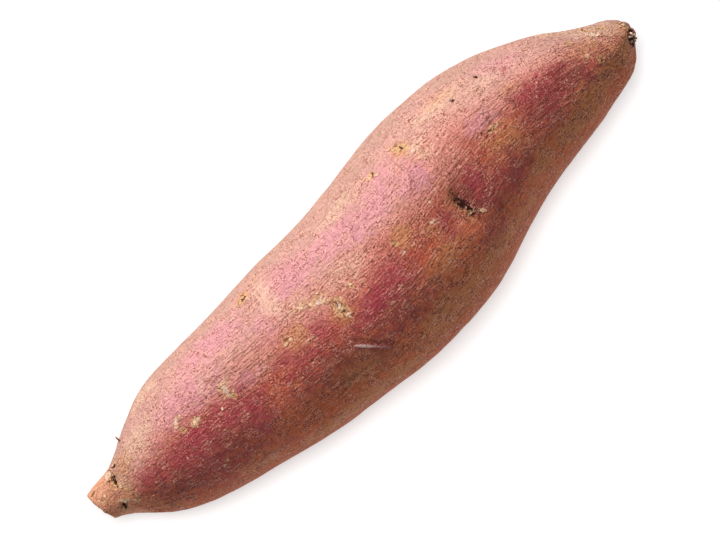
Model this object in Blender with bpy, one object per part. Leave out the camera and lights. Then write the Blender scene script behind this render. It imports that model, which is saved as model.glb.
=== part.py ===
"""Sweet potato: one grown root, lying on the small flat spot that it rests on.

Run with blender --background --python part.py. Metres, +Z up. +X runs from the
root tip to the stem end, and the origin is on the ground under the middle of
the root's box.
"""

import math
from typing import NamedTuple

import bmesh
import bpy
from mathutils import Vector

MM = 0.001

# The skin as rings of points: how many rings, points in a ring, and how much
# closer the rings stand at the two ends than in the middle.
RINGS = 76
RING_POINTS = 44
END_CROWDING = 0.55

# The face of the broken root tip is turned towards the left edge, and the face
# of the stem end looks up. Each lean fades out over its length of root.
TIP_LEAN = math.radians(10)
TIP_LEAN_FADE = 12 * MM
STEM_LEAN = math.radians(24)
STEM_LEAN_FADE = 22 * MM

# The blunt stem end is closed by a dome in this many steps.
DOME_STEPS = 5

SKIN_COLOUR = (0.46, 0.17, 0.13, 1.0)
SKIN_ROUGHNESS = 0.6


class Station(NamedTuple):
    """Where the four edges of the root run, at one place along it, in mm."""

    along: float
    left: float
    right: float
    under: float
    top: float


# Seen from above the root is a shallow S, thickest past its middle towards the
# stem. Seen from the side it lies flat along its middle and both ends lift.
STATIONS = (
    Station(-100.8, 12.2, 2.0, 15.4, 25.6),
    Station(-97.5, 12.8, 0.6, 14.4, 26.6),
    Station(-92.0, 13.2, -3.2, 11.8, 29.2),
    Station(-87.0, 15.2, -7.8, 9.0, 33.0),
    Station(-80.0, 18.7, -12.1, 5.6, 38.0),
    Station(-70.0, 22.9, -16.1, 2.6, 42.4),
    Station(-60.0, 24.0, -18.8, 0.8, 45.2),
    Station(-40.0, 24.2, -23.9, -0.5, 48.4),
    Station(-20.0, 25.2, -26.9, -0.7, 50.6),
    Station(0.0, 25.5, -29.4, -0.7, 52.2),
    Station(20.0, 28.0, -28.1, -0.6, 53.2),
    Station(32.0, 29.4, -25.3, -0.4, 53.0),
    Station(45.0, 28.8, -21.0, 0.8, 51.6),
    Station(56.0, 26.9, -18.0, 2.8, 49.6),
    Station(68.0, 23.1, -16.1, 5.8, 47.0),
    Station(80.0, 17.2, -14.3, 9.8, 44.2),
    Station(87.0, 12.0, -12.5, 13.2, 42.2),
    Station(93.0, 8.1, -10.8, 17.2, 40.0),
    Station(97.0, 5.9, -8.6, 20.6, 38.0),
    Station(99.4, 4.0, -5.4, 23.4, 36.2),
    Station(100.9, 1.6, -4.2, 26.2, 34.0),
)
DOME_TIP = Vector((102.0, -1.2, 30.1)) * MM


class Swell(NamedTuple):
    """A low bump (or, with a negative height, a dent) on the skin, in mm.

    around is the angle from the left edge, +Y, over the top, in degrees.
    """

    along: float
    around: float
    length: float
    breadth: float
    height: float


SWELLS = (
    Swell(-62, 118, 22, 11, 0.9),
    Swell(-48, 52, 20, 10, 0.8),
    Swell(-20, 75, 26, 9, -0.7),
    Swell(4, 108, 18, 11, 0.9),
    Swell(24, 66, 16, 10, 0.8),
    Swell(31, 101, 9, 6, -1.5),
    Swell(44, 122, 14, 9, 1.0),
    Swell(60, 84, 16, 9, 0.7),
    Swell(72, 50, 12, 7, -0.6),
    Swell(86, 96, 8, 5, 0.6),
    Swell(-84, 72, 9, 7, 0.7),
    Swell(-74, 215, 18, 9, 0.8),
    Swell(-36, 318, 22, 10, 0.9),
    Swell(12, 212, 24, 11, -0.8),
    Swell(48, 322, 20, 9, 0.8),
    Swell(70, 232, 16, 8, 0.9),
)


def clear_scene():
    for obj in list(bpy.data.objects):
        bpy.data.objects.remove(obj)


def slope_at(values, places, i):
    """The slope of a smooth line through the stations, at station i."""
    before, after = max(i - 1, 0), min(i + 1, len(places) - 1)
    return (values[after] - values[before]) / (places[after] - places[before])


def edge_at(along, edge):
    """An edge's offset, in metres, on a smooth curve through the stations."""
    places = [station.along for station in STATIONS]
    values = [getattr(station, edge) for station in STATIONS]
    place = along / MM
    i = max(n for n in range(len(places) - 1) if places[n] <= place or n == 0)
    span = places[i + 1] - places[i]
    t = (place - places[i]) / span
    rise = (
        (2 * t**3 - 3 * t**2 + 1) * values[i]
        + (t**3 - 2 * t**2 + t) * span * slope_at(values, places, i)
        + (3 * t**2 - 2 * t**3) * values[i + 1]
        + (t**3 - t**2) * span * slope_at(values, places, i + 1)
    )
    return rise * MM


def swell_at(along, around, girth_radius):
    """How far the bumps and dents lift the skin, at one point of it."""
    lift = 0.0
    for swell in SWELLS:
        turn = math.remainder(around - math.radians(swell.around), math.tau)
        run = (along / MM - swell.along) / swell.length
        spread = turn * girth_radius / MM / swell.breadth
        lift += swell.height * math.exp(-(run**2) - spread**2)
    return lift * MM


def end_leans(along):
    """How far a ring leans along the root, per metre to the left and upwards."""
    from_tip = (along - STATIONS[0].along * MM) / TIP_LEAN_FADE
    from_stem = (STATIONS[-1].along * MM - along) / STEM_LEAN_FADE
    across = math.tan(TIP_LEAN) * max(0.0, 1 - from_tip) ** 2
    upwards = math.tan(STEM_LEAN) * max(0.0, 1 - from_stem) ** 2
    return Vector((0, across, upwards))


def ring_at(along):
    """One ring of the skin, as points from the left edge over the top."""
    left, right, under, top = (
        edge_at(along, edge) for edge in ("left", "right", "under", "top")
    )
    half_width, half_height = (left - right) / 2, (top - under) / 2
    middle = Vector((along, (left + right) / 2, (top + under) / 2))
    leans = end_leans(along)
    points = []
    for n in range(RING_POINTS):
        around = math.tau * n / RING_POINTS
        out = Vector((0, half_width * math.cos(around), half_height * math.sin(around)))
        out += out.normalized() * swell_at(along, around, (half_width + half_height) / 2)
        points.append(middle + out - Vector((leans.dot(out), 0, 0)))
    return points


def places_along():
    """Where the rings stand: evenly, but closer together towards both ends."""
    first, last = STATIONS[0].along * MM, STATIONS[-1].along * MM
    places = []
    for n in range(RINGS):
        even = n / (RINGS - 1)
        crowded = (1 - math.cos(math.pi * even)) / 2
        share = even + END_CROWDING * (crowded - even)
        places.append(first + (last - first) * share)
    return places


def dome_rings(rim):
    """Rings that round the blunt stem end off, from its rim to near its tip."""
    middle = sum(rim, Vector()) / len(rim)
    rings = []
    for step in range(1, DOME_STEPS):
        turn = math.pi / 2 * step / DOME_STEPS
        centre = middle.lerp(DOME_TIP, math.sin(turn))
        rings.append([centre + (point - middle) * math.cos(turn) for point in rim])
    return rings


def skin_mesh():
    """The closed skin, its underside flattened where it lies on the ground."""
    rings = [ring_at(along) for along in places_along()]
    rings += dome_rings(rings[-1])
    mesh = bmesh.new()
    loops = []
    for ring in rings:
        loops.append([mesh.verts.new((p.x, p.y, max(p.z, 0.0))) for p in ring])
    for near, far in zip(loops, loops[1:]):
        for n in range(RING_POINTS):
            after = (n + 1) % RING_POINTS
            mesh.faces.new((near[n], near[after], far[after], far[n]))
    tip = mesh.verts.new(DOME_TIP)
    for n in range(RING_POINTS):
        mesh.faces.new((loops[-1][n], loops[-1][(n + 1) % RING_POINTS], tip))
    mesh.faces.new(loops[0])
    bmesh.ops.recalc_face_normals(mesh, faces=mesh.faces)
    return mesh


def centre_over_origin(mesh):
    """Slides the mesh so that its box stands centred over the origin."""
    spans = [[vert.co[axis] for vert in mesh.verts] for axis in (0, 1)]
    x, y = ((min(span) + max(span)) / 2 for span in spans)
    bmesh.ops.translate(mesh, verts=mesh.verts, vec=(-x, -y, 0))


def skin_material():
    material = bpy.data.materials.new("skin")
    material.use_nodes = True
    shader = material.node_tree.nodes["Principled BSDF"]
    shader.inputs["Base Color"].default_value = SKIN_COLOUR
    shader.inputs["Roughness"].default_value = SKIN_ROUGHNESS
    shader.inputs["Metallic"].default_value = 0.0
    return material


def add_sweet_potato():
    built = skin_mesh()
    centre_over_origin(built)
    data = bpy.data.meshes.new("sweet_potato")
    built.to_mesh(data)
    built.free()
    data.materials.append(skin_material())
    data.shade_smooth()
    data.set_sharp_from_angle(angle=math.radians(50))
    obj = bpy.data.objects.new("sweet_potato", data)
    bpy.context.scene.collection.objects.link(obj)
    return obj


clear_scene()
add_sweet_potato()
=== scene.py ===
"""The looks of a whole sweet potato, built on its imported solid.

Metres, +Z up. +X runs from the broken root tip to the stem end, and the root
lies on its small flat spot at Z = 0. Across means towards +Y, seen from above.
"""

import math
from typing import NamedTuple

import bpy
import numpy as np
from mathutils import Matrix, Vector, noise
from mathutils.bvhtree import BVHTree


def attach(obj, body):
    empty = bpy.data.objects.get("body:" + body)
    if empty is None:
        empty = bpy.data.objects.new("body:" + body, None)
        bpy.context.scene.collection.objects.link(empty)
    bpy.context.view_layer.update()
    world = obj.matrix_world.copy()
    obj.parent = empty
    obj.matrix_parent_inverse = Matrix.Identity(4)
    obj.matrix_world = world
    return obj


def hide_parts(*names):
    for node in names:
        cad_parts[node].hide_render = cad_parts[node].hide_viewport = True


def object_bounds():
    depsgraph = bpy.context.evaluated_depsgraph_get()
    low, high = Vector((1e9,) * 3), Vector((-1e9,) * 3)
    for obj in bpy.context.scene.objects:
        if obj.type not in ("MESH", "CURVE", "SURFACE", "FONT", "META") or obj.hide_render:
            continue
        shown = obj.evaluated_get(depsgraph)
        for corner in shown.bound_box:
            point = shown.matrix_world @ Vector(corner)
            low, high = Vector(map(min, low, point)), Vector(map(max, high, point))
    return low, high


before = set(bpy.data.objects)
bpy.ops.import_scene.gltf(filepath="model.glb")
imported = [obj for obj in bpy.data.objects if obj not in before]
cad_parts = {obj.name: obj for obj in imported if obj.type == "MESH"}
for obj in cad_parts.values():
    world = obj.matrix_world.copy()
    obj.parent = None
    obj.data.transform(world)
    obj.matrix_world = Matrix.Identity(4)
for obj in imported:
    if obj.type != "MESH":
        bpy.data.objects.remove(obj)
SOLID_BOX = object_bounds()
MM = 0.001


# ---------------------------------------------------------------------------
# The grown body. One swollen root, closed at both ends, that narrows to a
# broken tip and to the scar of its stem. Its rings are taken from the packed
# solid, rounded off between the facets, and drawn fine enough for scars.
# ---------------------------------------------------------------------------

RINGS_ALONG = 330
RINGS_PER_END = 26
POINTS_AROUND = 256
TIP_CENTRE_INSIDE = 6.0 * MM
STEM_CENTRE_INSIDE = 6.5 * MM

# How widely the solid's facets are blurred away, in rings or in ring points.
CENTRE_BLUR = 4.0
ROUND_BLUR = 4.0
LENGTH_BLUR = 3.0
END_BLUR = 0.8


def middle_at(corners, along, reach=3.0 * MM):
    """The middle of the solid's outline at one place along it."""
    near = corners[abs(corners[:, 0] - along) < reach]
    return (along, *((near.min(axis=0) + near.max(axis=0)) / 2)[1:])


def centres_and_tilts(corners):
    """Each ring's centre, and how far its rays tilt towards the nearer end."""
    tip = corners[:, 0].min() + TIP_CENTRE_INSIDE
    stem = corners[:, 0].max() - STEM_CENTRE_INSIDE
    quarter = np.linspace(0, math.pi / 2, RINGS_PER_END + 1)[1:-1]
    rings = [(middle_at(corners, tip), -tilt) for tilt in quarter[::-1]]
    for along in np.linspace(tip, stem, RINGS_ALONG):
        rings.append((middle_at(corners, along), 0.0))
    rings += [(middle_at(corners, stem), tilt) for tilt in quarter]
    return rings


def blurred(grid, spread, axis, wrap):
    """The grid averaged along one axis with a bell curve of this spread."""
    reach = int(math.ceil(3 * spread))
    steps = np.arange(-reach, reach + 1)
    weights = np.exp(-((steps / spread) ** 2) / 2)
    pad = [(0, 0)] * grid.ndim
    pad[axis] = (reach, reach)
    padded = np.pad(grid, pad, mode="wrap" if wrap else "edge")
    places = np.arange(grid.shape[axis]) + reach
    shifted = (np.take(padded, places + step, axis) for step in steps)
    return sum(w * g for w, g in zip(weights, shifted)) / weights.sum()


def body_rings():
    """The smooth body as rings by points by XYZ, and each point's turn."""
    solid = bpy.data.objects["sweet_potato"].data
    corners = np.array([corner.co for corner in solid.vertices])
    faces = [tuple(face.vertices) for face in solid.polygons]
    tree = BVHTree.FromPolygons([Vector(c) for c in corners], faces)
    rings = centres_and_tilts(corners)
    centres = blurred(np.array([centre for centre, _ in rings]), CENTRE_BLUR, 0, False)
    tilts = np.array([tilt for _, tilt in rings])[:, None]
    turns = np.linspace(0, math.tau, POINTS_AROUND, endpoint=False)
    rays = np.zeros((len(rings), POINTS_AROUND, 3))
    rays[..., 0] = np.sin(tilts)
    rays[..., 1] = np.cos(tilts) * np.cos(turns)
    rays[..., 2] = np.cos(tilts) * np.sin(turns)
    radii = np.array([
        [tree.ray_cast(Vector(centre), Vector(ray))[3] for ray in ring_rays]
        for centre, ring_rays in zip(centres, rays)
    ])
    radii = blurred(radii, ROUND_BLUR, 1, wrap=True)
    soft = blurred(radii, LENGTH_BLUR, 0, wrap=False)
    crisp = blurred(radii, END_BLUR, 0, wrap=False)
    along_body = (tilts == 0).astype(float)
    radii = crisp + (soft - crisp) * blurred(along_body, LENGTH_BLUR, 0, wrap=False)
    return centres[:, None, :] + rays * radii[..., None], turns


def unit(vectors):
    """The same directions, each of length one."""
    return vectors / np.maximum(np.linalg.norm(vectors, axis=-1, keepdims=True), 1e-12)


rings, turns = body_rings()
lengthwise = unit(np.gradient(rings, axis=0))
roundwise = unit(np.roll(rings, -1, axis=1) - np.roll(rings, 1, axis=1))
outwards = unit(np.cross(roundwise, lengthwise)).reshape(-1, 3)
lengthwise = lengthwise.reshape(-1, 3)
skin_points = rings.reshape(-1, 3)
turn = np.tile(turns, len(rings))
lean = np.cos(turn)
rise = np.sin(turn)
girth = np.linalg.norm(rings - rings.mean(axis=1, keepdims=True), axis=-1)
girth = girth.mean(axis=1).repeat(POINTS_AROUND)
along = skin_points[:, 0]


# ---------------------------------------------------------------------------
# The skin's relief and colours. Swells, lengthwise wrinkles, eyes where fine
# roots grew, corky scurf and one healed scratch are modelled in the surface,
# and each also leaves its own mask that the colours follow.
# ---------------------------------------------------------------------------


def wander(points, size, seed=0.0):
    """Smooth noise from -1 to 1 at every point, with lumps of about this size."""
    shift = Vector((seed * 7.3, seed * 3.1, seed * 5.7))
    return np.array([noise.noise(Vector(p) / size + shift) for p in points])


def smooth(values, low, high):
    """0 below low, 1 above high, and a smooth step between them."""
    t = np.clip((values - low) / (high - low), 0, 1)
    return t * t * (3 - 2 * t)


# Places in which the fibres run straight from end to end, so that a pattern laid
# along them narrows where the root does.
USUAL_RADIUS = 27 * MM
fibre_radius = np.sqrt(girth * USUAL_RADIUS)
fibre_space = np.stack([along, fibre_radius * lean, fibre_radius * rise], axis=1)

# Three unlike noises that make the edges of the marks crooked.
ragged = np.stack([wander(skin_points, 2.2 * MM, seed) for seed in (1, 2, 3)], axis=1)
ragged += 0.5 * np.stack(
    [wander(skin_points, 0.9 * MM, seed) for seed in (4, 5, 6)], axis=1
)

MASKS = (
    "wine", "rose", "ochre", "cream", "dusk", "folds", "cork", "pit", "flesh", "scurf",
    "scab", "lip",
)
masks = {name: np.zeros(len(skin_points)) for name in MASKS}
relief = np.zeros(len(skin_points))


def spot(place, under=False):
    """The number of the skin point at this place, seen from above or below."""
    off = np.hypot(along - place[0] * MM, skin_points[:, 1] - place[1] * MM)
    hidden = rise > 0 if under else rise < 0
    return int(np.argmin(np.where(hidden, 1.0, off)))


def around_spot(centre, turned, rough=0.0):
    """Offsets in mm from a skin point, lengthwise and across, then turned."""
    offset = (skin_points + ragged * rough * MM - skin_points[centre]) / MM
    length = offset @ lengthwise[centre]
    breadth = offset @ np.cross(outwards[centre], lengthwise[centre])
    far = abs(offset @ outwards[centre]) > 9
    c, s = math.cos(math.radians(turned)), math.sin(math.radians(turned))
    length, breadth = length * c + breadth * s, breadth * c - length * s
    return np.where(far, 1e3, length), np.where(far, 1e3, breadth)


def stain(mask, amount):
    """Deepens a mask wherever this amount is more than it has."""
    masks[mask] = np.maximum(masks[mask], amount)


class Patch(NamedTuple):
    """A soft-edged patch of one kind of skin. Places and sizes are in mm."""

    mask: str
    place: tuple
    length: float
    breadth: float
    amount: float = 1.0
    turned: float = 0.0
    under: bool = False


PATCHES = (
    # On the upper side.
    Patch("wine", (-64, 0.5), 19, 5.5, 1.0, 3),
    Patch("wine", (-67, -4), 23, 12, 0.62),
    Patch("wine", (-50, -4), 8, 9, 0.75),
    Patch("wine", (-82, 2), 8, 6, 0.6),
    Patch("wine", (-20, -1), 4, 4, 0.6),
    Patch("wine", (-34, 0), 3, 3, 0.6),
    Patch("wine", (-26, -7), 18, 8, 0.5),
    Patch("wine", (-2, -7), 13, 5, 0.95),
    Patch("wine", (-3, -14), 14, 6, 0.5),
    Patch("wine", (5, -3), 6, 6, 0.6),
    Patch("wine", (25, -4), 5, 5, 0.55),
    Patch("wine", (38, -4), 6, 7, 0.9),
    Patch("wine", (46, -7), 10, 7, 0.6),
    Patch("wine", (34, -15), 6, 5, 0.45),
    Patch("wine", (72, 3), 12, 5, 1.0, -8),
    Patch("wine", (66, -1), 9, 6, 0.65),
    Patch("wine", (82, -1), 4, 4, 0.6),
    Patch("wine", (66, 15), 2, 1.5, 0.5),
    Patch("wine", (-49, -17), 4, 2, 0.5),
    Patch("wine", (97, -9), 3, 2, 0.5),
    Patch("rose", (-60, 12), 13, 6, 0.8),
    Patch("rose", (-46, 18), 13, 6, 0.8),
    Patch("rose", (-31, 11), 8, 5, 0.5),
    Patch("rose", (-44, 4), 7, 3, 0.6),
    Patch("rose", (-17, 16), 10, 6, 0.9),
    Patch("rose", (-2, 15), 13, 5, 0.8),
    Patch("rose", (12, 13), 12, 5, 0.9),
    Patch("rose", (27, 11), 5, 4.5, 1.0),
    Patch("rose", (21, 18), 8, 5, 0.6),
    Patch("rose", (51, 9.5), 7, 3, 0.6),
    Patch("rose", (66, 17), 8, 5, 0.5),
    Patch("ochre", (-30, -23), 19, 3.5, 0.9),
    Patch("ochre", (-10, -25.5), 10, 3, 0.9),
    Patch("ochre", (-20, -17), 8, 6, 0.7),
    Patch("ochre", (12, -22), 15, 6, 0.9),
    Patch("ochre", (31, -19), 9, 5, 0.8),
    Patch("ochre", (19, -11), 9, 5, 0.55),
    Patch("ochre", (56, -11), 6, 4, 0.9),
    Patch("ochre", (44, -17), 8, 2.5, 0.7),
    Patch("ochre", (72, -10), 11, 4, 1.0),
    Patch("ochre", (83, -6), 9, 5, 0.9),
    Patch("ochre", (94, -4), 8, 5, 0.9),
    Patch("ochre", (88, 3), 8, 4, 0.6),
    Patch("ochre", (98, -1), 3, 4, 0.7),
    Patch("ochre", (-57, -16), 8, 3, 0.7),
    Patch("ochre", (-86, -6), 7, 2.5, 0.8, -30),
    Patch("ochre", (-87, 11), 5, 4, 0.8),
    Patch("ochre", (-91, 4), 3, 5, 0.8),
    Patch("ochre", (-26, 2), 4, 4, 0.8),
    Patch("ochre", (-12, -2), 3, 4, 1.0),
    Patch("ochre", (14, 2), 4, 4, 0.8),
    Patch("ochre", (21, -3), 3, 3, 0.7),
    Patch("ochre", (-40, 4), 4, 3, 0.6),
    Patch("ochre", (32, -2), 4, 6, 0.7),
    Patch("ochre", (54, 1), 9, 5, 0.65),
    Patch("ochre", (64, 10), 3, 2, 0.6),
    Patch("ochre", (-30, 21), 3, 1.5, 0.8),
    Patch("ochre", (30, 19.5), 3, 3, 0.9),
    Patch("ochre", (48, 22), 4, 3, 0.6),
    Patch("cream", (-25, 16), 3, 8, 0.8),
    Patch("cream", (-21, 8), 4, 2.5, 0.6),
    Patch("cream", (-50.5, 6), 2, 3, 0.7),
    Patch("cream", (-54, 12), 4, 3, 0.5),
    Patch("cream", (-70, 21.5), 7, 2.5, 0.9),
    Patch("cream", (-80, 13), 8, 5, 0.8),
    Patch("cream", (-4, 6), 8, 4, 0.5),
    Patch("cream", (5, 20), 10, 4, 0.55),
    Patch("cream", (34, 16), 3, 4, 0.7),
    Patch("cream", (46, 21), 10, 4, 0.65),
    Patch("cream", (60, 17), 6, 4, 0.5),
    Patch("cream", (87, 10.5), 10, 4.5, 1.0, -34),
    Patch("cream", (94, 5), 7, 4, 1.0, -34),
    Patch("cream", (-91, 6), 3, 5, 0.6),
    Patch("dusk", (-78, -4), 10, 6, 0.55),
    Patch("dusk", (-60, -5), 12, 5, 0.5),
    Patch("dusk", (-22, -12), 14, 7, 0.6),
    Patch("dusk", (-12, -18), 6, 5, 0.5),
    Patch("dusk", (2, -12), 12, 5, 0.5),
    Patch("dusk", (39, -9), 8, 6, 0.6),
    Patch("dusk", (33.4, -4), 3.4, 7, 1.0, -4),
    Patch("dusk", (52, -5), 10, 5, 0.45),
    Patch("dusk", (76, 2), 10, 4, 0.75, -8),
    Patch("dusk", (66, 1), 8, 4, 0.5),
    Patch("dusk", (89, -1), 6, 4, 0.45),
    Patch("folds", (52, 9), 15, 5, 1.0),
    Patch("folds", (-46, 8), 15, 6, 0.9),
    Patch("folds", (-82, -4), 10, 7, 1.0),
    Patch("folds", (38, 2), 12, 6, 0.8),
    Patch("folds", (-90, 8), 8, 9, 1.0),
    Patch("folds", (86, 4), 13, 12, 1.0),
    Patch("folds", (10, -10), 16, 8, 0.6),
    Patch("folds", (-30, -16), 16, 8, 0.6),
    Patch("folds", (70, -6), 12, 8, 0.8),
    # On the underside.
    Patch("wine", (-56, -14), 18, 6, 0.8, 0, True),
    Patch("wine", (-50, 12), 16, 6, 0.7, 0, True),
    Patch("wine", (22, -14), 15, 5, 0.7, 0, True),
    Patch("wine", (12, 20), 10, 4, 0.6, 0, True),
    Patch("wine", (62, 8), 12, 5, 0.8, 0, True),
    Patch("rose", (-18, 18), 14, 6, 0.9, 0, True),
    Patch("rose", (-76, 2), 9, 5, 0.7, 0, True),
    Patch("rose", (42, 20), 12, 5, 0.8, 0, True),
    Patch("rose", (-14, -20), 12, 4, 0.7, 0, True),
    Patch("ochre", (-30, -10), 12, 7, 0.9, 0, True),
    Patch("ochre", (6, 4), 11, 7, 0.7, 0, True),
    Patch("ochre", (76, -3), 10, 6, 0.9, 0, True),
    Patch("ochre", (-34, 20), 8, 3, 0.7, 0, True),
    Patch("cream", (-62, 4), 6, 4, 0.8, 0, True),
    Patch("cream", (30, 6), 6, 4, 0.8, 0, True),
    Patch("cream", (60, 18), 7, 3, 0.7, 0, True),
    Patch("cream", (-4, -24), 8, 2, 0.6, 0, True),
    Patch("dusk", (-6, -9), 14, 5, 0.6, 0, True),
    Patch("dusk", (48, -9), 10, 4, 0.6, 0, True),
    Patch("dusk", (-70, 14), 8, 4, 0.5, 0, True),
    Patch("folds", (30, 14), 22, 8, 0.8, 0, True),
    Patch("folds", (-50, -8), 24, 8, 0.8, 0, True),
)

for patch in PATCHES:
    u, v = around_spot(spot(patch.place, patch.under), patch.turned, 2.0)
    reach = (u / patch.length) ** 2 + (v / patch.breadth) ** 2
    stain(patch.mask, patch.amount * np.exp(-(reach**1.2)))


class Eye(NamedTuple):
    """A sunken eye where fine roots grew, in corky skin. Sizes are in mm."""

    place: tuple
    length: float
    breadth: float
    depth: float
    turned: float = 0.0
    pitted: float = 0.5
    under: bool = False


EYES = (
    Eye((30.6, 19.8), 1.9, 1.2, 0.5, -60, 0.45),
    Eye((-29.6, 20.8), 2.1, 1.0, 0.5, 8, 0.6),
    Eye((-25.0, 22.3), 1.8, 0.4, 0.3, 20, 0.6),
    Eye((20.0, 20.0), 1.1, 0.9, 0.3, 0, 0.4),
    Eye((-50.2, 3.6), 1.0, 0.7, 0.4, -80, 0.45),
    Eye((-51.2, 6.6), 0.9, 0.6, 0.3, -70, 0.4),
    Eye((-67.2, 6.2), 0.8, 0.6, 0.4, -40, 0.4),
    Eye((-15.8, 6.8), 2.2, 0.4, 0.4, 6, 0.55),
    Eye((-12.3, 1.0), 1.4, 1.5, 0.35, 0, 0.5),
    Eye((-12.0, -1.8), 1.5, 1.0, 0.35, 0, 0.5),
    Eye((-92.4, 9.8), 1.2, 2.0, 0.9, -20, 0.9),
    Eye((-89.4, 12.8), 1.4, 0.8, 0.5, 0, 0.7),
    Eye((-95.6, 2.4), 1.6, 1.0, 0.8, 50, 0.9),
    Eye((-98.6, 7.9), 0.8, 0.5, 0.2, 0, 0.5),
    Eye((-99.6, 11.2), 1.2, 0.4, 0.2, 10, 0.7),
    Eye((10.8, 2.0), 0.7, 0.9, 0.25, 0, 0.35),
    Eye((-6.0, 2.0), 0.6, 0.5, 0.2, 0, 0.3),
    Eye((52.8, 5.6), 0.6, 0.9, 0.3, 0, 0.4),
    Eye((91.0, 7.6), 1.8, 0.6, 0.4, -60, 0.5),
    Eye((95.0, 4.4), 1.2, 0.8, 0.3, -30, 0.4),
    Eye((84.9, 7.6), 0.8, 0.6, 0.3, 0, 0.3),
    Eye((88.0, -1.5), 1.0, 0.8, 0.3, 0, 0.5),
    Eye((-29.2, 4.0), 0.6, 0.5, 0.3, 0, 0.3),
    Eye((-40, -9), 1.6, 1.1, 0.6, 80, 0.6, True),
    Eye((26, 6), 2.0, 1.2, 0.7, 70, 0.6, True),
    Eye((58, -6), 1.4, 1.0, 0.5, 60, 0.6, True),
    Eye((-66, 9), 1.4, 1.0, 0.5, 80, 0.6, True),
    Eye((2, 19), 1.5, 1.0, 0.5, 85, 0.6, True),
)

for eye in EYES:
    u, v = around_spot(spot(eye.place, eye.under), eye.turned, 0.6 * min(1.0, eye.breadth))
    reach = np.hypot(u / eye.length, v / eye.breadth)
    lumps = 0.7 + 0.5 * ragged[:, 1]
    rim = np.exp(-(((reach - 1.5) / 0.5) ** 2))
    relief += eye.depth * (0.25 * rim * lumps - lumps * np.exp(-(reach**2.5)))
    stain("cork", 0.9 * np.exp(-((reach / 1.6) ** 3)))
    # The eye's dent is painted dark, as dark tissue and as painted shade.
    stain("pit", eye.pitted * np.exp(-((reach / 1.0) ** 2)))
    stain("scurf", 0.4 * rim)

# Pinholes where single hairs grew. In mm, like every mark on the skin.
PINHOLES = ((59.8, 19.2), (50.0, 18.8))
PINHOLE_RADIUS = 0.62
PINHOLE_DEPTH = 0.4
for place in PINHOLES:
    u, v = around_spot(spot(place), 0)
    reach = np.hypot(u, v) / PINHOLE_RADIUS
    relief -= PINHOLE_DEPTH * np.exp(-(reach**3))
    # The pinhole is painted dark, as dark tissue and as painted shade.
    stain("pit", 1.0 * np.exp(-(reach**2.5)))
    stain("cork", 0.35 * np.exp(-((reach / 2) ** 3)))

# The deep eye: a crooked crevice across the fibres, painted nearly black at its
# middle for its dark tissue and as painted shade in the crevice, that fades into
# bruised brown skin with scraps of cork along it.
CREVICE_PLACE = (32.4, -4.0)
CREVICE_TURN = -92
CREVICE_LENGTH = 6.4
CREVICE_BREADTH = 1.4
CREVICE_DEPTH = 1.1
u, v = around_spot(spot(CREVICE_PLACE), CREVICE_TURN, 0.6)
reach = np.hypot(u / CREVICE_LENGTH, v / CREVICE_BREADTH)
relief -= CREVICE_DEPTH * np.exp(-(reach**2.2)) * (0.75 + 0.5 * ragged[:, 2])
stain("pit", 0.95 * np.exp(-(np.hypot(u / 5.0, v / 1.1) ** 2)))
stain("pit", 0.55 * np.exp(-(np.hypot(u / 7.2, v / 2.0) ** 2.5)))
stain("cork", 0.6 * np.exp(-(np.hypot((u - 2.0) / 5.0, (v + 1.6) / 0.8) ** 3)))
stain("scurf", 0.25 * np.exp(-(np.hypot((u - 2.0) / 4.5, (v + 1.5) / 0.9) ** 3)))


class Scab(NamedTuple):
    """A place where the skin peels off in pale scraps. In mm."""

    place: tuple
    length: float
    breadth: float
    turned: float = 0.0
    amount: float = 1.0


SCABS = (
    Scab((-67.0, 9.2), 1.3, 0.8, 20),
    Scab((-69.0, 7.6), 0.6, 0.9, 0, 0.7),
    Scab((-63.0, 5.4), 1.4, 0.9, -10),
    Scab((-50.7, 5.8), 1.1, 1.7, -10, 0.8),
    Scab((-71.8, -0.6), 1.9, 0.3, 62, 0.8),
    Scab((-60.5, 10.0), 0.7, 0.5, 0, 0.6),
    Scab((-55.5, 2.4), 0.9, 0.6, 0, 0.6),
    Scab((-19.6, 7.2), 1.7, 1.1, -15),
    Scab((-15.3, 4.6), 2.0, 1.3, 10),
    Scab((-12.4, 0.6), 1.0, 1.4, 0, 0.8),
    Scab((-11.6, -2.6), 0.8, 0.9, 0, 0.8),
    Scab((-24.6, -0.6), 1.6, 0.5, 0, 0.6),
    Scab((26.0, 3.4), 0.8, 0.6, 60, 0.9),
    Scab((28.6, 4.9), 0.6, 0.4, 0, 0.6),
    Scab((22.4, -1.8), 0.9, 1.4, 0, 0.7),
    Scab((10.6, -1.6), 0.7, 1.5, 0, 0.6),
    Scab((34.6, -8.6), 1.6, 0.5, -60, 0.8),
    Scab((54.0, 5.2), 1.0, 0.8, 0, 0.7),
    Scab((33.0, 16.6), 1.3, 1.8, 0, 0.6),
    Scab((-92.2, 12.0), 2.2, 1.3, 20, 1.0),
    Scab((-93.4, 3.0), 2.4, 0.6, -20, 0.9),
    Scab((91.6, 5.0), 1.9, 1.2, -40, 0.8),
    Scab((89.4, 9.6), 3.4, 1.1, -38, 0.7),
    Scab((85.5, 1.8), 1.4, 0.8, 0, 0.6),
    Scab((-66.0, -8.8), 1.4, 0.7, 0, 0.6),
    Scab((-50.4, -13.4), 0.6, 1.2, 0, 0.6),
)

for scab in SCABS:
    u, v = around_spot(spot(scab.place), scab.turned, 0.8)
    reach = np.hypot(u / scab.length, v / scab.breadth)
    relief += 0.12 * scab.amount * np.exp(-(((reach - 1.0) / 0.35) ** 2))
    stain("scab", scab.amount * np.exp(-(reach**2)))
    stain("cork", 0.55 * scab.amount * np.exp(-(((reach - 1.2) / 0.5) ** 2)))
    stain("scurf", scab.amount * np.exp(-((reach / 1.1) ** 3)))


def stretched(points, ratio):
    """Places for noise whose lumps are this much longer than they are wide."""
    return points * np.array([1 / ratio, 1, 1])


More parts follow.
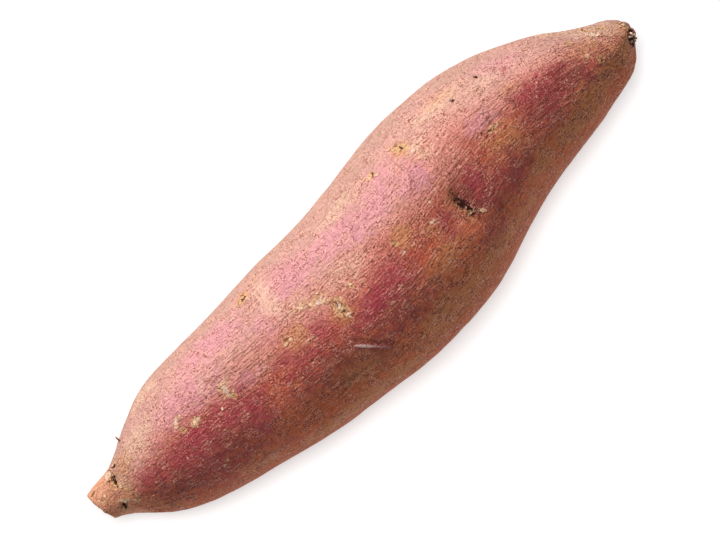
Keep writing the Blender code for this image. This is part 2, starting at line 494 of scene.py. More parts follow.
# Swells and hollows, and wrinkles that follow the fibres and deepen at the ends.
# Heights are in mm.
SWELL_HEIGHT = 0.22
LUMP_HEIGHT = 0.10
RIB_HEIGHT = 0.55
to_tip = along - along.min()
to_stem = along.max() - along
to_cut = smooth(to_tip, 9 * MM, 13 * MM)
relief += SWELL_HEIGHT * wander(stretched(skin_points, 1.6), 9 * MM, 11)
relief += LUMP_HEIGHT * to_cut * wander(stretched(skin_points, 1.3), 3.6 * MM, 12)
wrinkles = 1 - 2.2 * abs(wander(stretched(fibre_space, 9), 1.7 * MM, 13))
near_tip = smooth(to_tip, 34 * MM, 6 * MM)
near_stem = smooth(to_stem, 30 * MM, 6 * MM)
in_folds = smooth(wander(skin_points, 16 * MM, 14), 0.0, 0.35)
folded = 0.05 * in_folds + 0.10 * masks["folds"]
relief += to_cut * wrinkles * (0.03 + folded + 0.08 * near_tip + 0.08 * near_stem)
ribs = wander(stretched(fibre_space, 30), 5.5 * MM, 15)
relief += RIB_HEIGHT * near_stem * ribs


# One healed scratch across the fibres: a thin raised pale lip beside a groove.
# The lip's pale colour, brighter towards one end, is healed skin and also painted
# highlight on the raised lip; the groove is painted dark as painted shade.
SCRATCH_PLACE = (-12.8, -14.6)
SCRATCH_TURN = -45
SCRATCH_LENGTH = 6.2
SCRATCH_BREADTH = 0.55
LIP_HEIGHT = 0.38
GROOVE_DEPTH = 0.22
GROOVE_ASIDE = 1.1
u, v = around_spot(spot(SCRATCH_PLACE), SCRATCH_TURN)
length_fade = np.exp(-((u / SCRATCH_LENGTH) ** 6))
bright_end = 0.55 + 0.45 * smooth(-u, -2.0, 3.0)
lip = np.exp(-((v / SCRATCH_BREADTH) ** 2)) * length_fade
groove = np.exp(-(((v - GROOVE_ASIDE) / SCRATCH_BREADTH) ** 2)) * length_fade
relief += LIP_HEIGHT * lip - GROOVE_DEPTH * groove
# The lip is painted pale, most at one end: healed skin and painted highlight.
stain("lip", lip * bright_end)
stain("wine", 0.8 * np.exp(-((v / 1.4) ** 2)) * length_fade)
# The groove is painted dark, as painted shade.
stain("dusk", 0.9 * groove)


# The broken tip: a neck with hardly any skin, and a dry face where it snapped.
# The skin gives out between these two distances from the end.
SKIN_THINS = 12.5 * MM
SKIN_GONE = 8.0 * MM
tip_rough = (2.5 * ragged[:, 0] + 3.0 * wander(skin_points, 5 * MM, 18)) * MM
stain("flesh", smooth(to_tip + tip_rough, SKIN_THINS, SKIN_GONE))
at_cut = smooth(to_tip, 4 * MM, 1 * MM)
face = smooth(-outwards[:, 0], 0.45, 0.85) * at_cut
relief += face * (0.3 * wander(skin_points, 1.3 * MM, 16) - 0.15)
stain("cream", 0.7 * face * smooth(ragged[:, 1], -0.6, 0.2))
stain("cork", 0.7 * np.exp(-(((face - 0.3) / 0.25) ** 2)) * at_cut)

# On the face, a ring of broken fibre ends lies around a paler pith. In mm.
FIBRE_RING = 2.8
FIBRE_RING_WIDE = 0.9
face_middle = skin_points[:POINTS_AROUND].mean(axis=0)
from_middle = np.linalg.norm(skin_points - face_middle, axis=1) / MM
off_ring = (from_middle - FIBRE_RING - 0.9 * ragged[:, 0]) / FIBRE_RING_WIDE
fibre_ring = face * np.exp(-(off_ring**2))
relief -= 0.25 * fibre_ring
stain("cork", 0.7 * fibre_ring)
# The sunk ring is painted a little darker, as painted shade.
stain("pit", 0.2 * fibre_ring)


# The stem scar: a black callus around a cup of broken fibres, with orange cork
# heaped across the end beside it.
SCAR_PLACE = (99.5, -3.6)
SCAR_LONG = 2.7
SCAR_SHORT = 2.0
SCAR_TURN = 45
SCAR_RIM = 0.45
SCAR_DEPTH = 0.8
HEAP_PLACE = (100.0, 0.4)
HEAP_LONG = 2.7
HEAP_SHORT = 1.4
HEAP_TURN = 70
HEAP_HEIGHT = 0.4
scar_point = spot(SCAR_PLACE)
scar_middle = skin_points[scar_point].copy()
scar_facing = outwards[scar_point].copy()
u, v = around_spot(scar_point, SCAR_TURN, 0.35)
reach = np.hypot(u / SCAR_LONG, v / SCAR_SHORT)
relief += SCAR_RIM * np.exp(-(((reach - 1.0) / 0.28) ** 2))
relief -= SCAR_DEPTH * np.exp(-(reach**3.5))
# The cup is painted black, for the callus and as painted shade in the cup.
stain("pit", 1.2 * np.exp(-(reach**5)))
u, v = around_spot(spot(HEAP_PLACE), HEAP_TURN, 0.7)
heap = np.exp(-((u / HEAP_LONG) ** 2) - (v / HEAP_SHORT) ** 2)
relief += HEAP_HEIGHT * heap * (0.6 + 0.9 * wander(skin_points, 0.9 * MM, 17))
stain("cork", heap)
stain("ochre", heap)
stain("pit", 0.35 * heap)
stain("scurf", heap)


# The relief stays inside the solid's box: the skin draws in a little where it
# comes near a side of the box, and never goes below the floor. The first is in mm.
DRAWN_IN = 0.35
NEAR_SIDE = 1.0 * MM
low, high = np.array(SOLID_BOX[0]), np.array(SOLID_BOX[1])
room = np.concatenate([skin_points[:, :2] - low[:2], high - skin_points], axis=1)
room = room.min(axis=1)
relief -= DRAWN_IN * smooth(room, NEAR_SIDE, 0)
skin_points = skin_points + outwards * (relief * MM)[:, None]
skin_points = np.clip(skin_points, low, high)
masks["scurf"] *= (skin_points[:, 2] > 3 * MM) & (room > 1.5 * NEAR_SIDE)


def closed_mesh(name, points, rings, around):
    """A closed mesh through rings of points, its two poles closed by fans."""
    poles = [points[:around].mean(axis=0), points[-around:].mean(axis=0)]
    grid = np.arange(rings * around).reshape(rings, around)
    after = np.roll(grid, -1, axis=1)
    quads = np.stack([grid[:-1], after[:-1], after[1:], grid[1:]], axis=-1)
    faces = quads.reshape(-1, 4).tolist()
    first, last = len(points), len(points) + 1
    faces += [(first, int(b), int(a)) for a, b in zip(grid[0], after[0])]
    faces += [(last, int(a), int(b)) for a, b in zip(grid[-1], after[-1])]
    mesh = bpy.data.meshes.new(name)
    mesh.from_pydata(np.vstack([points, poles]).tolist(), [], faces)
    mesh.update()
    return mesh


def with_poles(values):
    """Values at every skin point, and at the two poles after them."""
    first, last = values[:POINTS_AROUND], values[-POINTS_AROUND:]
    return np.concatenate([values, [first.mean(axis=0)], [last.mean(axis=0)]])


skin_mesh = closed_mesh("skin", skin_points, len(rings), POINTS_AROUND)
skin_mesh.shade_smooth()
for name, values in {**masks, "lean": lean, "rise": rise}.items():
    layer = skin_mesh.attributes.new(name, "FLOAT", "POINT")
    layer.data.foreach_set("value", with_poles(values))
layer = skin_mesh.attributes.new("fibre", "FLOAT_VECTOR", "POINT")
layer.data.foreach_set("vector", with_poles(fibre_space).ravel())
skin = bpy.data.objects.new("skin", skin_mesh)
bpy.context.scene.collection.objects.link(skin)


def node(tree, kind, inputs, **settings):
    """One node, its inputs given as plain values or as the sockets they follow."""
    made = tree.nodes.new(kind)
    for name, value in settings.items():
        setattr(made, name, value)
    for socket, value in inputs.items():
        if isinstance(value, bpy.types.NodeSocket):
            tree.links.new(value, made.inputs[socket])
        else:
            made.inputs[socket].default_value = value
    return made


class Finish:
    """One material, painted layer over layer from noise and from masks."""

    def __init__(self, name):
        self.material = bpy.data.materials.new(name)
        self.material.use_nodes = True
        self.tree = self.material.node_tree
        self.shader = self.tree.nodes["Principled BSDF"]
        self.place = node(self.tree, "ShaderNodeTexCoord", {}).outputs["Object"]

    def named(self, name, output="Fac"):
        """A value or a direction that the mesh carries under this name."""
        kind = "ShaderNodeAttribute"
        return node(self.tree, kind, {}, attribute_name=name).outputs[output]

    def maths(self, operation, *values):
        inputs = dict(enumerate(values))
        return node(self.tree, "ShaderNodeMath", inputs, operation=operation).outputs[0]

    def step(self, value, low, high, bottom=0.0, top=1.0):
        """A smooth step from bottom, where the value is low, to top."""
        inputs = {0: value, 1: low, 2: high, 3: bottom, 4: top}
        kind = "ShaderNodeMapRange"
        return node(self.tree, kind, inputs, interpolation_type="SMOOTHSTEP").outputs[0]

    def noise(self, size, detail=2.0, stretch=(1, 1, 1), vector=None, roughness=0.55):
        """Noise with lumps of this size in metres, stretched along an axis."""
        inputs = {0: vector or self.place, 1: [1 / s for s in stretch]}
        scaled = node(self.tree, "ShaderNodeVectorMath", inputs, operation="MULTIPLY")
        inputs = {"Vector": scaled.outputs[0], "Scale": 1 / size, "Detail": detail,
                  "Roughness": roughness}
        return node(self.tree, "ShaderNodeTexNoise", inputs).outputs["Fac"]

    def total(self, *weighted):
        """The sum of pairs of a value and its weight."""
        sum_so_far = 0.0
        for value, weight in weighted:
            terms = {0: value, 1: weight, 2: sum_so_far}
            kind = "ShaderNodeMath"
            sum_so_far = node(self.tree, kind, terms, operation="MULTIPLY_ADD").outputs[0]
        return sum_so_far

    def layer(self, share, colour, under):
        """A colour laid over the one under it, as strongly as share says."""
        inputs = {0: share, 6: under, 7: colour}
        return node(self.tree, "ShaderNodeMix", inputs, data_type="RGBA").outputs[2]

    def finish(self, colour, height, depth, roughness, gloss):
        """Gives the shader its colour, its relief in metres, and its shine."""
        inputs = {"Height": height, "Distance": depth, "Strength": 1.0}
        bump = node(self.tree, "ShaderNodeBump", inputs).outputs[0]
        self.tree.links.new(colour, self.shader.inputs["Base Color"])
        self.tree.links.new(bump, self.shader.inputs["Normal"])
        self.shader.inputs["Roughness"].default_value = roughness
        self.shader.inputs["Specular IOR Level"].default_value = gloss
        return self.material


def rgb(r, g, b):
    return (r, g, b, 1.0)


# Colours around the root, from its shaded flank over the crown to the lit side.
# Besides the skin's own colours they hold painted light and shade: the shaded flank
# is painted a deeper, more saturated orange-red, the lit side a paler pink, and the
# lit edge a little darker again.
AROUND_WITH_PAINTED_LIGHT = (
    (0.00, rgb(0.58, 0.132, 0.034)),
    (0.15, rgb(0.67, 0.154, 0.056)),
    (0.30, rgb(0.67, 0.162, 0.074)),
    (0.44, rgb(0.50, 0.088, 0.051)),
    (0.53, rgb(0.60, 0.170, 0.120)),
    (0.63, rgb(0.69, 0.265, 0.210)),
    (0.78, rgb(0.68, 0.350, 0.285)),
    (0.90, rgb(0.59, 0.310, 0.255)),
    (1.00, rgb(0.52, 0.295, 0.225)),
)
UNDERSIDE = rgb(0.56, 0.215, 0.145)
UNDERSIDE_FROM = 0.2
UNDERSIDE_FULL = -0.35
UNDERSIDE_SHARE = 0.85
WINE = rgb(0.40, 0.042, 0.068)
ROSE = rgb(0.72, 0.295, 0.34)
DUSK = rgb(0.21, 0.045, 0.028)
OCHRE = rgb(0.62, 0.265, 0.098)
CREAM = rgb(0.84, 0.57, 0.38)
CORK_TAN = rgb(0.72, 0.41, 0.20)
CORK_BROWN = rgb(0.17, 0.055, 0.015)
# Near black: the pits' dark tissue and painted shade in their dents.
PIT_AND_SHADE = rgb(0.045, 0.011, 0.007)
FLESH = rgb(0.80, 0.350, 0.185)
# Pores: their own dark brown, and painted shade in the grain's hollows. Flecks below: pale
# skin, and painted highlight on the grain's ridges.
PORE_AND_SHADE = rgb(0.27, 0.062, 0.034)
SCAB_CREAM = rgb(0.88, 0.63, 0.47)
HEALED_AND_HIGHLIT = rgb(0.90, 0.56, 0.52)
FLECK_AND_HIGHLIGHT = rgb(0.86, 0.43, 0.32)

SKIN_BUMP = 0.36 * MM
SKIN_ROUGHNESS = 0.62
SKIN_GLOSS = 0.14

paint = Finish("skin")
fibre = paint.named("fibre", "Vector")
blotch = paint.noise(11 * MM, 4, (1.5, 1, 1))
mottle = paint.noise(2.4 * MM, 4, (1.4, 1, 1), roughness=0.7)
region = paint.noise(3.6 * MM, 2)
streak = paint.noise(0.5 * MM, 2, (4.5, 1, 1), fibre)
crease = paint.noise(0.7 * MM, 3, (7, 1, 1), fibre)
hatch = paint.noise(0.6 * MM, 2, (1, 3, 3), fibre)
pebble = paint.noise(0.9 * MM, 2)
speckle = paint.noise(0.42 * MM, 2)

# The colour around the root wanders, so that no band has a straight edge.
around = paint.total((paint.named("lean"), 0.5), (blotch, 0.3), (mottle, 0.12))
around = paint.maths("ADD", around, 0.29)
# This ramp lays the painted light and shade around the root, with the skin's colours.
ramp = node(paint.tree, "ShaderNodeValToRGB", {"Fac": around})
while len(ramp.color_ramp.elements) < len(AROUND_WITH_PAINTED_LIGHT):
    ramp.color_ramp.elements.new(0.5)
for stop, (position, colour) in zip(ramp.color_ramp.elements, AROUND_WITH_PAINTED_LIGHT):
    stop.position = position
    stop.color = colour
colour = ramp.outputs["Color"]
rise_here = paint.named("rise")
hidden = paint.step(rise_here, UNDERSIDE_FROM, UNDERSIDE_FULL, 0.0, UNDERSIDE_SHARE)
colour = paint.layer(hidden, UNDERSIDE, colour)

ragged_edge = paint.total((mottle, 1.7), (pebble, 0.7), (speckle, 0.6), (streak, 0.6))
ragged_edge = paint.maths("SUBTRACT", ragged_edge, 1.8)


def patchy(mask, low=0.05, high=0.75):
    """A mask whose edge is broken up by the mottled skin."""
    total = paint.total((paint.named(mask), 1.0), (ragged_edge, 0.9))
    inside = paint.step(paint.named(mask), 0.02, 0.25)
    return paint.maths("MULTIPLY", paint.step(total, low, high), inside)


def laid(mask, most, over, low=0.05, high=0.75):
    """Lays a mask's colour over the skin, at most this strongly."""
    return paint.layer(paint.maths("MULTIPLY", patchy(mask, low, high), most), over, colour)


colour = laid("ochre", 0.68, OCHRE)
colour = laid("rose", 0.75, ROSE)
colour = laid("wine", 0.92, WINE)
colour = laid("dusk", 0.6, DUSK)
colour = laid("cream", 0.45, CREAM)
colour = laid("flesh", 0.78, FLESH, 0.2, 0.9)

# Fine grain: dark pores, hollows between the fibres and pale rubbed specks, all
# stronger in some places than in others. The dark is laid where the bump sinks, so
# it is the pores' colour and also painted shade in the hollows and creases; the pale
# is laid where the bump rises, so it is rubbed skin and also painted highlight on
# the ridges.
rough_here = paint.step(region, 0.38, 0.62, 0.45, 1.45)
smooth_neck = paint.step(paint.named("flesh"), 0.3, 0.8, 1.0, 0.55)
rough_here = paint.maths("MULTIPLY", rough_here, smooth_neck)
folds = paint.named("folds")
creases = paint.maths("MULTIPLY", paint.step(crease, 0.45, 0.32), folds)
ridges = paint.maths("MULTIPLY", paint.step(crease, 0.55, 0.68), folds)
hollow = paint.total((paint.step(speckle, 0.50, 0.26), 0.85),
                     (paint.step(streak, 0.50, 0.26), 0.40),
                     (paint.step(hatch, 0.48, 0.26), 0.40), (creases, 0.35))
worn_and_highlit = paint.total((paint.step(speckle, 0.50, 0.74), 0.75),
                   (paint.step(streak, 0.52, 0.76), 0.55),
                   (paint.step(pebble, 0.54, 0.74), 0.3), (ridges, 0.3))
# The dark grain is laid more strongly on the shaded flank than on the lit side, as painted
# shade.
painted_shade_boost = paint.step(paint.named("lean"), 0.35, -0.1, 0.9, 1.5)
hollow_here = paint.maths("MULTIPLY", hollow, rough_here)
worn_and_highlit_here = paint.maths("MULTIPLY", worn_and_highlit, rough_here)
colour = paint.layer(paint.maths("MULTIPLY", hollow_here, painted_shade_boost), PORE_AND_SHADE, colour)
colour = paint.layer(paint.maths("MULTIPLY", worn_and_highlit_here, 0.7), FLECK_AND_HIGHLIGHT, colour)

# Scabs, eyes and holes: bright cork broken by brown cracks, then the dark pits,
# whose near black is their own dark tissue and also painted shade in the dents.
cork_colour = paint.layer(paint.step(pebble, 0.50, 0.40), CORK_BROWN, CORK_TAN)
colour = laid("cork", 0.8, cork_colour, 0.25, 0.75)
colour = laid("scab", 0.9, SCAB_CREAM, 0.3, 0.8)
# The scratch's lip: pale healed skin and painted highlight.
colour = paint.layer(paint.step(paint.named("lip"), 0.3, 0.8), HEALED_AND_HIGHLIT, colour)
pit_share = paint.total((paint.named("pit"), 1.0), (pebble, -1.0), (speckle, -1.4),
                        (mottle, -0.4))
pit_share = paint.step(pit_share, -1.1, -0.8)
pit_here = paint.step(paint.named("pit"), 0.08, 0.3)
colour = paint.layer(paint.maths("MULTIPLY", pit_share, pit_here), PIT_AND_SHADE, colour)

height = paint.total((streak, 1.0), (hatch, 0.6), (pebble, 0.9), (mottle, 0.8),
                     (hollow, -0.7), (creases, -1.0), (ridges, 0.6))
skin_mesh.materials.append(
    paint.finish(colour, height, SKIN_BUMP, SKIN_ROUGHNESS, SKIN_GLOSS))

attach(skin, "root")
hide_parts("sweet_potato")


# ---------------------------------------------------------------------------
# Scurf. Thin curled scraps of dead outer skin that cling round the scabs, the
# eyes and the heap of cork at the stem. Each is a small closed flake, and they
# are strewn over the skin where its scurf mask is strong.
# ---------------------------------------------------------------------------


def new_tree(name, sizes):
    """An empty modifier tree with these named sizes, its input and its output."""
    tree = bpy.data.node_groups.new(name, "GeometryNodeTree")
    tree.is_modifier = True
    kind = "NodeSocketGeometry"
    tree.interface.new_socket("Geometry", in_out="INPUT", socket_type=kind)
    tree.interface.new_socket("Geometry", in_out="OUTPUT", socket_type=kind)
    for size in sizes:
        kind = "NodeSocketFloat"
        tree.interface.new_socket(size, in_out="INPUT", socket_type=kind)
    given = node(tree, "NodeGroupInput", {}).outputs
    return tree, given


def grown_from(base, tree, sizes, name):
    """Runs a tree on a base object and keeps the result as one plain mesh."""
    growth = base.modifiers.new(name, "NODES")
    growth.node_group = tree
    for socket in tree.interface.items_tree:
        if socket.in_out == "INPUT" and socket.name in sizes:
            growth[socket.identifier] = sizes[socket.name]
    ready = base.evaluated_get(bpy.context.evaluated_depsgraph_get())
    mesh = bpy.data.meshes.new_from_object(ready)
    base.modifiers.clear()
    bpy.data.objects.remove(base)
    piece = bpy.data.objects.new(name, mesh)
    bpy.context.scene.collection.objects.link(piece)
    return piece


def ended(tree, geometry, material):
    """Makes the instances real, gives them their material and ends the tree."""
    real = node(tree, "GeometryNodeRealizeInstances", {"Geometry": geometry}).outputs[0]
    inputs = {"Geometry": real, "Material": material}
    done = node(tree, "GeometryNodeSetMaterial", inputs).outputs[0]
    node(tree, "NodeGroupOutput", {"Geometry": done})


paint = Finish("scurf")
grain_here = paint.noise(0.5 * MM, 3)
colour = paint.layer(paint.step(grain_here, 0.35, 0.65), CREAM, rgb(0.50, 0.24, 0.11))
colour = paint.layer(paint.step(paint.noise(0.9 * MM, 2), 0.56, 0.7), CORK_BROWN, colour)
scurf_material = paint.finish(colour, grain_here, 0.1 * MM, 0.8, 0.2)

SCURF_SIZES = {
    "Radius": 0.5 * MM, "Thickness": 0.09 * MM, "Curl": 300.0, "Ragged": 0.4 * MM,
    "Per square metre": 500000.0, "Smallest": 0.45, "Largest": 1.4, "Seed": 4.0,
}
tree, given = new_tree("scurf_flakes", SCURF_SIZES)
density = node(tree, "GeometryNodeInputNamedAttribute", {"Name": "scurf"}).outputs[0]
amount = node(tree, "ShaderNodeMath", {0: density, 1: given["Per square metre"]},
              operation="MULTIPLY").outputs[0]
inputs = {"Mesh": given["Geometry"], "Density": amount, "Seed": given["Seed"]}
strewn = node(tree, "GeometryNodeDistributePointsOnFaces", inputs).outputs
inputs = {"Vertices": 9, "Fill Segments": 2, "Radius": given["Radius"],
          "Depth": given["Thickness"]}
disc = node(tree, "GeometryNodeMeshCylinder", inputs).outputs["Mesh"]
at = node(tree, "GeometryNodeInputPosition", {}).outputs[0]
across = node(tree, "ShaderNodeSeparateXYZ", {0: at}).outputs["X"]
squared = node(tree, "ShaderNodeMath", {0: across, 1: across},
               operation="MULTIPLY").outputs[0]
lift = node(tree, "ShaderNodeMath", {0: squared, 1: given["Curl"]},
            operation="MULTIPLY").outputs[0]
offset = node(tree, "ShaderNodeCombineXYZ", {"Z": lift}).outputs[0]
inputs = {"Geometry": disc, "Offset": offset}
curled = node(tree, "GeometryNodeSetPosition", inputs).outputs[0]
inputs = {2: 0.0, 3: math.tau, "Seed": 1}
spin = node(tree, "FunctionNodeRandomValue", inputs, data_type="FLOAT").outputs[1]
about = node(tree, "FunctionNodeAxisAngleToRotation", {"Axis": (0, 0, 1), "Angle": spin})
inputs = {"Rotation": strewn["Rotation"], "Rotate By": about.outputs[0]}
turned = node(tree, "FunctionNodeRotateRotation", inputs, rotation_space="LOCAL").outputs[0]
inputs = {2: given["Smallest"], 3: given["Largest"], "Seed": 2}
scale = node(tree, "FunctionNodeRandomValue", inputs, data_type="FLOAT").outputs[1]
inputs = {"Points": strewn["Points"], "Instance": curled, "Rotation": turned,
          "Scale": scale}
flakes = node(tree, "GeometryNodeInstanceOnPoints", inputs).outputs[0]
real = node(tree, "GeometryNodeRealizeInstances", {"Geometry": flakes}).outputs[0]
jitter = node(tree, "ShaderNodeTexNoise", {"Scale": 1 / (0.6 * MM), "Detail": 0.0})
inputs = {0: jitter.outputs["Color"], 1: (0.5, 0.5, 0.5)}
jitter = node(tree, "ShaderNodeVectorMath", inputs, operation="SUBTRACT").outputs[0]
inputs = {0: jitter, 3: given["Ragged"]}
jitter = node(tree, "ShaderNodeVectorMath", inputs, operation="SCALE").outputs[0]
ragged_flakes = node(tree, "GeometryNodeSetPosition",
                     {"Geometry": real, "Offset": jitter}).outputs[0]
ended(tree, ragged_flakes, scurf_material)

base = bpy.data.objects.new("scurf_base", skin_mesh.copy())
bpy.context.scene.collection.objects.link(base)
scurf = grown_from(base, tree, SCURF_SIZES, "scurf")
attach(scurf, "root")


# ---------------------------------------------------------------------------
# Rootlets and scar fibres. Short tapered stubs of dried root and of the torn
# stem, each rooted in the skin, the first brown and the second cream.
# ---------------------------------------------------------------------------


def stub_points(name, places, aims, lengths):
    """An object of bare points that stubs grow from, each with aim and length."""
    mesh = bpy.data.meshes.new(name)
    mesh.from_pydata([tuple(place) for place in places], [], [])
    aim = mesh.attributes.new("aim", "FLOAT_VECTOR", "POINT")
    aim.data.foreach_set("vector", np.array(aims, dtype=float).ravel())
    length = mesh.attributes.new("length", "FLOAT", "POINT")
    length.data.foreach_set("value", lengths)
    base = bpy.data.objects.new(name, mesh)
    bpy.context.scene.collection.objects.link(base)
    return base


def stub_tree(name, material):
    """Grows a curved tapered stub from every point, along its aim."""
    tree, given = new_tree(name, ("Thickness", "Bend", "Tip share"))
    bend = node(tree, "ShaderNodeCombineXYZ", {"X": given["Bend"], "Z": 1.0}).outputs[0]
    inputs = {"Resolution": 5, "Start": (0, 0, -0.25), "Middle": (0, 0, 0.5), "End": bend}
    spine = node(tree, "GeometryNodeCurveQuadraticBezier", inputs).outputs[0]
    done = node(tree, "GeometryNodeSplineParameter", {}).outputs["Factor"]
    inputs = {0: done, 3: 1.0, 4: given["Tip share"]}
    taper = node(tree, "ShaderNodeMapRange", inputs).outputs[0]
    circle = node(tree, "GeometryNodeCurvePrimitiveCircle",
                  {"Resolution": 7, "Radius": given["Thickness"]}).outputs[0]
    inputs = {"Curve": spine, "Radius": taper}
    tapered = node(tree, "GeometryNodeSetCurveRadius", inputs).outputs[0]
    inputs = {"Curve": tapered, "Profile Curve": circle, "Scale": taper, "Fill Caps": True}
    made = node(tree, "GeometryNodeCurveToMesh", inputs)
    aim = node(tree, "GeometryNodeInputNamedAttribute", {"Name": "aim"},
               data_type="FLOAT_VECTOR").outputs[0]
    turned = node(tree, "FunctionNodeAlignRotationToVector", {"Vector": aim}).outputs[0]
    inputs = {2: 0.0, 3: math.tau, "Seed": 3}
    spin = node(tree, "FunctionNodeRandomValue", inputs, data_type="FLOAT").outputs[1]
    about = node(tree, "FunctionNodeAxisAngleToRotation", {"Axis": (0, 0, 1), "Angle": spin})
    inputs = {"Rotation": turned, "Rotate By": about.outputs[0]}
    turned = node(tree, "FunctionNodeRotateRotation", inputs, rotation_space="LOCAL")
    length = node(tree, "GeometryNodeInputNamedAttribute", {"Name": "length"}).outputs[0]
    points = node(tree, "GeometryNodeMeshToPoints", {"Mesh": given["Geometry"]}).outputs[0]
    inputs = {"Points": points, "Instance": made.outputs[0],
              "Rotation": turned.outputs[0], "Scale": length}
    stubs = node(tree, "GeometryNodeInstanceOnPoints", inputs).outputs[0]
    ended(tree, stubs, material)
    return tree


paint = Finish("rootlet")
bark = paint.noise(0.4 * MM, 3)
colour = paint.layer(paint.step(bark, 0.35, 0.65), rgb(0.42, 0.17, 0.08), CORK_BROWN)
rootlet_material = paint.finish(colour, bark, 0.08 * MM, 0.75, 0.2)
paint = Finish("fibre")
bark = paint.noise(0.5 * MM, 3)
colour = paint.layer(paint.step(bark, 0.40, 0.56), rgb(0.88, 0.62, 0.48), CORK_BROWN)
fibre_material = paint.finish(colour, bark, 0.08 * MM, 0.7, 0.2)

# Each rootlet: where it stands in mm, how long it is in mm, and under or not.
ROOTLETS = (
    ((-83.7, 16.6), 1.7, False),
    ((-93.4, 10.6), 1.3, False),
    ((-91.0, 12.4), 1.0, False),
    ((-96.2, 3.0), 1.0, False),
    ((-40, -19), 1.6, True),
    ((-41, -18.4), 1.1, True),
    ((26, 23), 1.5, True),
    ((58, -11), 1.2, True),
    ((-66, 18), 1.6, True),
    ((2, 21), 1.3, True),
)
chance = np.random.default_rng(5)
centres = [spot(place, under) for place, _, under in ROOTLETS]
base = stub_points(
    "rootlet_base",
    skin_points[centres],
    outwards[centres] + chance.uniform(-0.35, 0.35, (len(ROOTLETS), 3)),
    [length * MM for _, length, _ in ROOTLETS],
)
# Thickness and bend are shares of a stub's length.
ROOTLET_SIZES = {"Thickness": 0.24, "Bend": 0.35, "Tip share": 0.4}
tree = stub_tree("rootlet_stubs", rootlet_material)
rootlets = grown_from(base, tree, ROOTLET_SIZES, "rootlets")
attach(rootlets, "root")

SCAR_FIBRES = 9
chance = np.random.default_rng(3)
side = unit(np.cross(scar_facing, (0, 0, 1)))
over = np.cross(side, scar_facing)
places = []
while len(places) < SCAR_FIBRES:
    across, upward = chance.uniform(-1, 1, 2)
    if math.hypot(across, upward) < 0.8:
        spread = across * side * SCAR_SHORT + upward * over * SCAR_LONG
        places.append(scar_middle + spread * MM - scar_facing * 0.5 * MM)
aims = scar_facing + chance.uniform(-0.3, 0.3, (SCAR_FIBRES, 3))
lengths = chance.uniform(0.7, 1.2, SCAR_FIBRES) * MM
base = stub_points("fibre_base", places, aims, lengths)
FIBRE_SIZES = {"Thickness": 0.42, "Bend": 0.15, "Tip share": 0.75}
tree = stub_tree("fibre_stubs", fibre_material)
scar_fibres = grown_from(base, tree, FIBRE_SIZES, "scar_fibres")
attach(scar_fibres, "root")


# ---------------------------------------------------------------------------
# The setting. A plain white floor, two soft lights, one for the root and one for
# the floor, and a camera that looks straight down on the root.
# ---------------------------------------------------------------------------

FLOOR_SIZE = 6.0
FLOOR_WHITE = (0.6, 0.6, 0.6, 1)
FLOOR_GLOW = 0.5
ROOM_LIGHT = 0.3
ROOM_SEEN = 0.9
VIEW_CENTRE = Vector((-0.9, 3.4, 26.0)) * MM
VIEW_TURN = math.radians(-44.53)
VIEW_WIDTH = 204.3 * MM
LENS = 150.0
SENSOR = 36.0

floor_mesh = bpy.data.meshes.new("floor")
half = FLOOR_SIZE / 2
floor_mesh.from_pydata(
    [(-half, -half, 0), (half, -half, 0), (half, half, 0), (-half, half, 0)],
    [],
    [(0, 1, 2, 3)],
)
floor = bpy.data.objects.new("floor", floor_mesh)
bpy.context.scene.collection.objects.link(floor)
floor_material = bpy.data.materials.new("floor")
floor_material.use_nodes = True
floor_shader = floor_material.node_tree.nodes["Principled BSDF"]
floor_shader.inputs["Base Color"].default_value = FLOOR_WHITE
floor_shader.inputs["Roughness"].default_value = 0.9
floor_shader.inputs["Specular IOR Level"].default_value = 0.0
floor_shader.inputs["Emission Color"].default_value = (1, 1, 1, 1)
floor_shader.inputs["Emission Strength"].default_value = FLOOR_GLOW
floor_mesh.materials.append(floor_material)

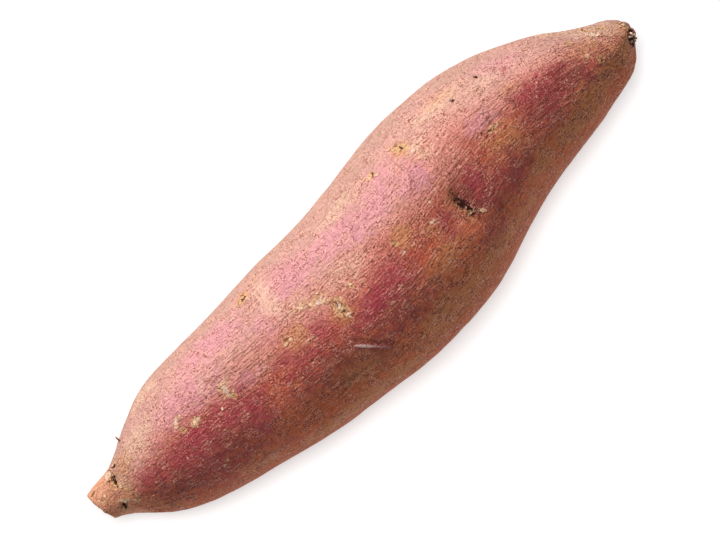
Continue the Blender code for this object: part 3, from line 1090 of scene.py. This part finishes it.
world = bpy.data.worlds.new("room")
world.use_nodes = True
world.node_tree.nodes["Background"].inputs["Color"].default_value = (1, 1, 1, 1)
from_camera = node(world.node_tree, "ShaderNodeLightPath", {}).outputs["Is Camera Ray"]
inputs = {0: from_camera, 3: ROOM_LIGHT, 4: ROOM_SEEN}
seen = node(world.node_tree, "ShaderNodeMapRange", inputs)
world.node_tree.links.new(
    seen.outputs[0], world.node_tree.nodes["Background"].inputs["Strength"])
bpy.context.scene.world = world

only_root = bpy.data.collections.new("only_root")
for piece in (skin, scurf, rootlets, scar_fibres):
    only_root.objects.link(piece)
only_floor = bpy.data.collections.new("only_floor")
only_floor.objects.link(floor)


def soft_light(name, place, aim, size, power, lights):
    """A square soft light, at a place and facing a point, that lights one group."""
    data = bpy.data.lights.new(name, "AREA")
    data.shape = "SQUARE"
    data.size = size
    data.energy = power
    light = bpy.data.objects.new(name, data)
    light.location = place
    light.rotation_euler = (Vector(aim) - Vector(place)).to_track_quat("-Z", "Y").to_euler()
    bpy.context.scene.collection.objects.link(light)
    light.light_linking.receiver_collection = lights


KEY_RISE = math.radians(36)
KEY_AWAY = 0.8
KEY_WATTS = 7.7
OVERHEAD_PLACE = (0, 0.12, 1.2)
OVERHEAD_WATTS = 10.0
LIGHT_SIZE = 0.25
ROOT_MIDDLE = (0, 0, 0.026)
FLOOR_MIDDLE = (0, 0, 0)
key_place = (0, KEY_AWAY * math.cos(KEY_RISE), KEY_AWAY * math.sin(KEY_RISE))
soft_light("key", key_place, ROOT_MIDDLE, LIGHT_SIZE, KEY_WATTS, only_root)
soft_light(
    "overhead", OVERHEAD_PLACE, FLOOR_MIDDLE, LIGHT_SIZE, OVERHEAD_WATTS, only_floor)

camera_data = bpy.data.cameras.new("camera")
camera_data.lens = LENS
camera_data.sensor_width = SENSOR
camera = bpy.data.objects.new("camera", camera_data)
camera.location = VIEW_CENTRE + Vector((0, 0, VIEW_WIDTH * LENS / SENSOR))
camera.rotation_euler = (0, 0, VIEW_TURN)
bpy.context.scene.collection.objects.link(camera)
bpy.context.scene.camera = camera
bpy.context.scene.view_settings.view_transform = "Standard"
